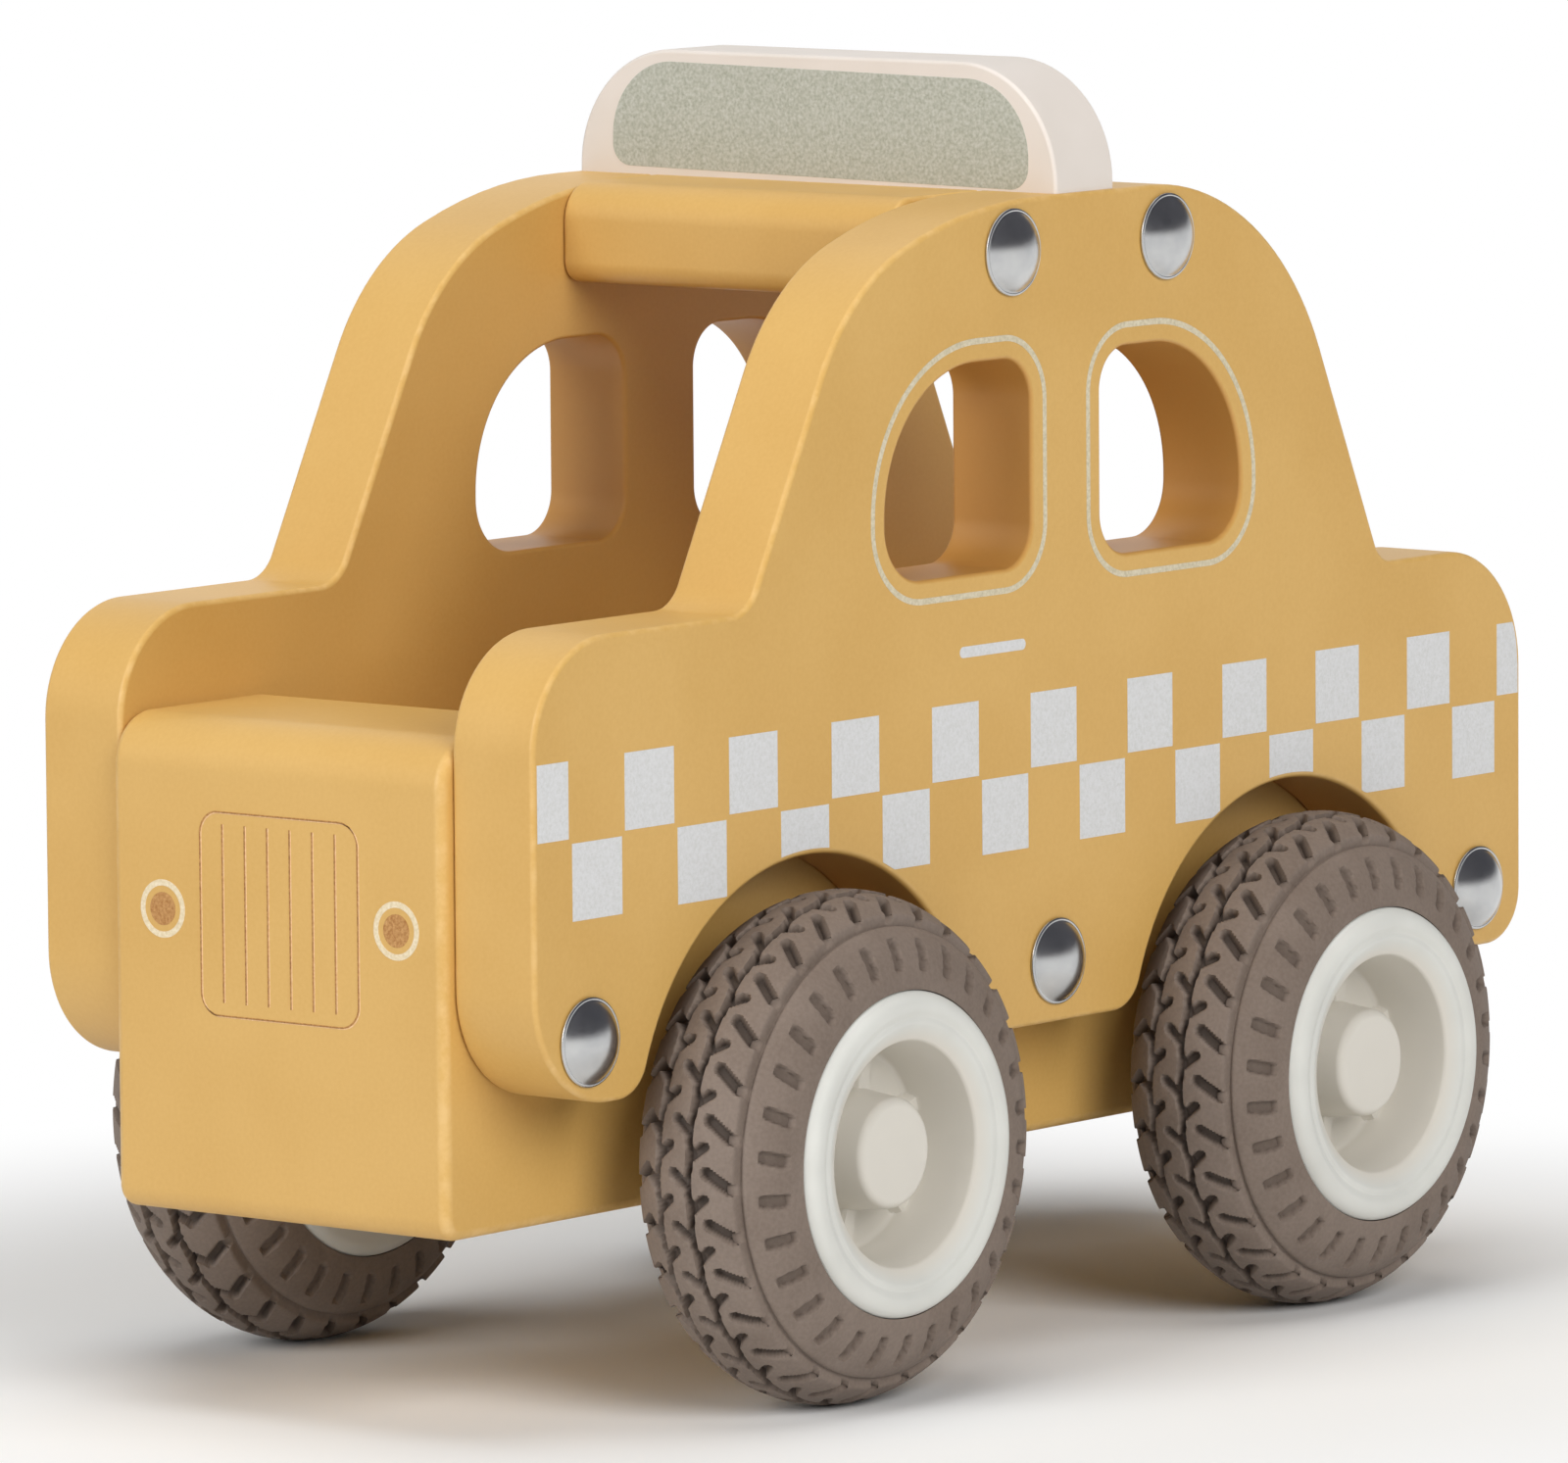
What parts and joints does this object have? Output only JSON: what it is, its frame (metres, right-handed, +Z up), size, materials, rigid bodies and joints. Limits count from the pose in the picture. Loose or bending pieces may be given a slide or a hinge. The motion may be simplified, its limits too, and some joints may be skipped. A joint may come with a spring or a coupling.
{
  "type": "wooden toy taxi",
  "caption": "Wooden toy taxi: sawn side panels with cut-out windows on a chassis block, a driver's socket, a roof sign, and moulded wheels with treaded tyres that roll on steel axles.",
  "frame": {"origin": "on the ground under the middle of the car, where its middle plane meets the middle of its length", "axes": "+X forward, +Y to the car's left along the axles, +Z up"},
  "size_m": [0.1464, 0.078, 0.1146],
  "materials": {
    "painted_wood": "satin paint on fine-grained board",
    "sign_wood": "satin cream paint",
    "dowel_wood": "bare turned wood",
    "plated_nail": "polished plated dome",
    "axle_steel": "drawn bright bar",
    "hub_plastic": "smooth moulded",
    "tyre_rubber": "matt moulded rubber"
  },
  "bodies": {
    "body": {"chassis_block": "painted_wood", "left_side_panel": "painted_wood", "right_side_panel": "painted_wood", "roof_plank": "painted_wood", "roof_sign": "sign_wood", "sign_dowels": "dowel_wood", "left_body_nails": "plated_nail", "right_body_nails": "plated_nail", "left_roof_nails": "plated_nail", "right_roof_nails": "plated_nail"},
    "front_wheels": {"front_axle": "axle_steel", "front_left_hub": "hub_plastic", "front_right_hub": "hub_plastic", "front_left_tyre": "tyre_rubber", "front_right_tyre": "tyre_rubber"},
    "rear_wheels": {"rear_axle": "axle_steel", "rear_left_hub": "hub_plastic", "rear_right_hub": "hub_plastic", "rear_left_tyre": "tyre_rubber", "rear_right_tyre": "tyre_rubber"}
  },
  "joints": [
    {"name": "front_axle_spin", "type": "hinge", "parent": "body", "child": "front_wheels", "pos_m": [0.0343, 0, 0.0225], "axis": [0, 1, 0], "continuous": true},
    {"name": "rear_axle_spin", "type": "hinge", "parent": "body", "child": "rear_wheels", "pos_m": [-0.03571, 0, 0.0225], "axis": [0, 1, 0], "continuous": true}
  ]
}
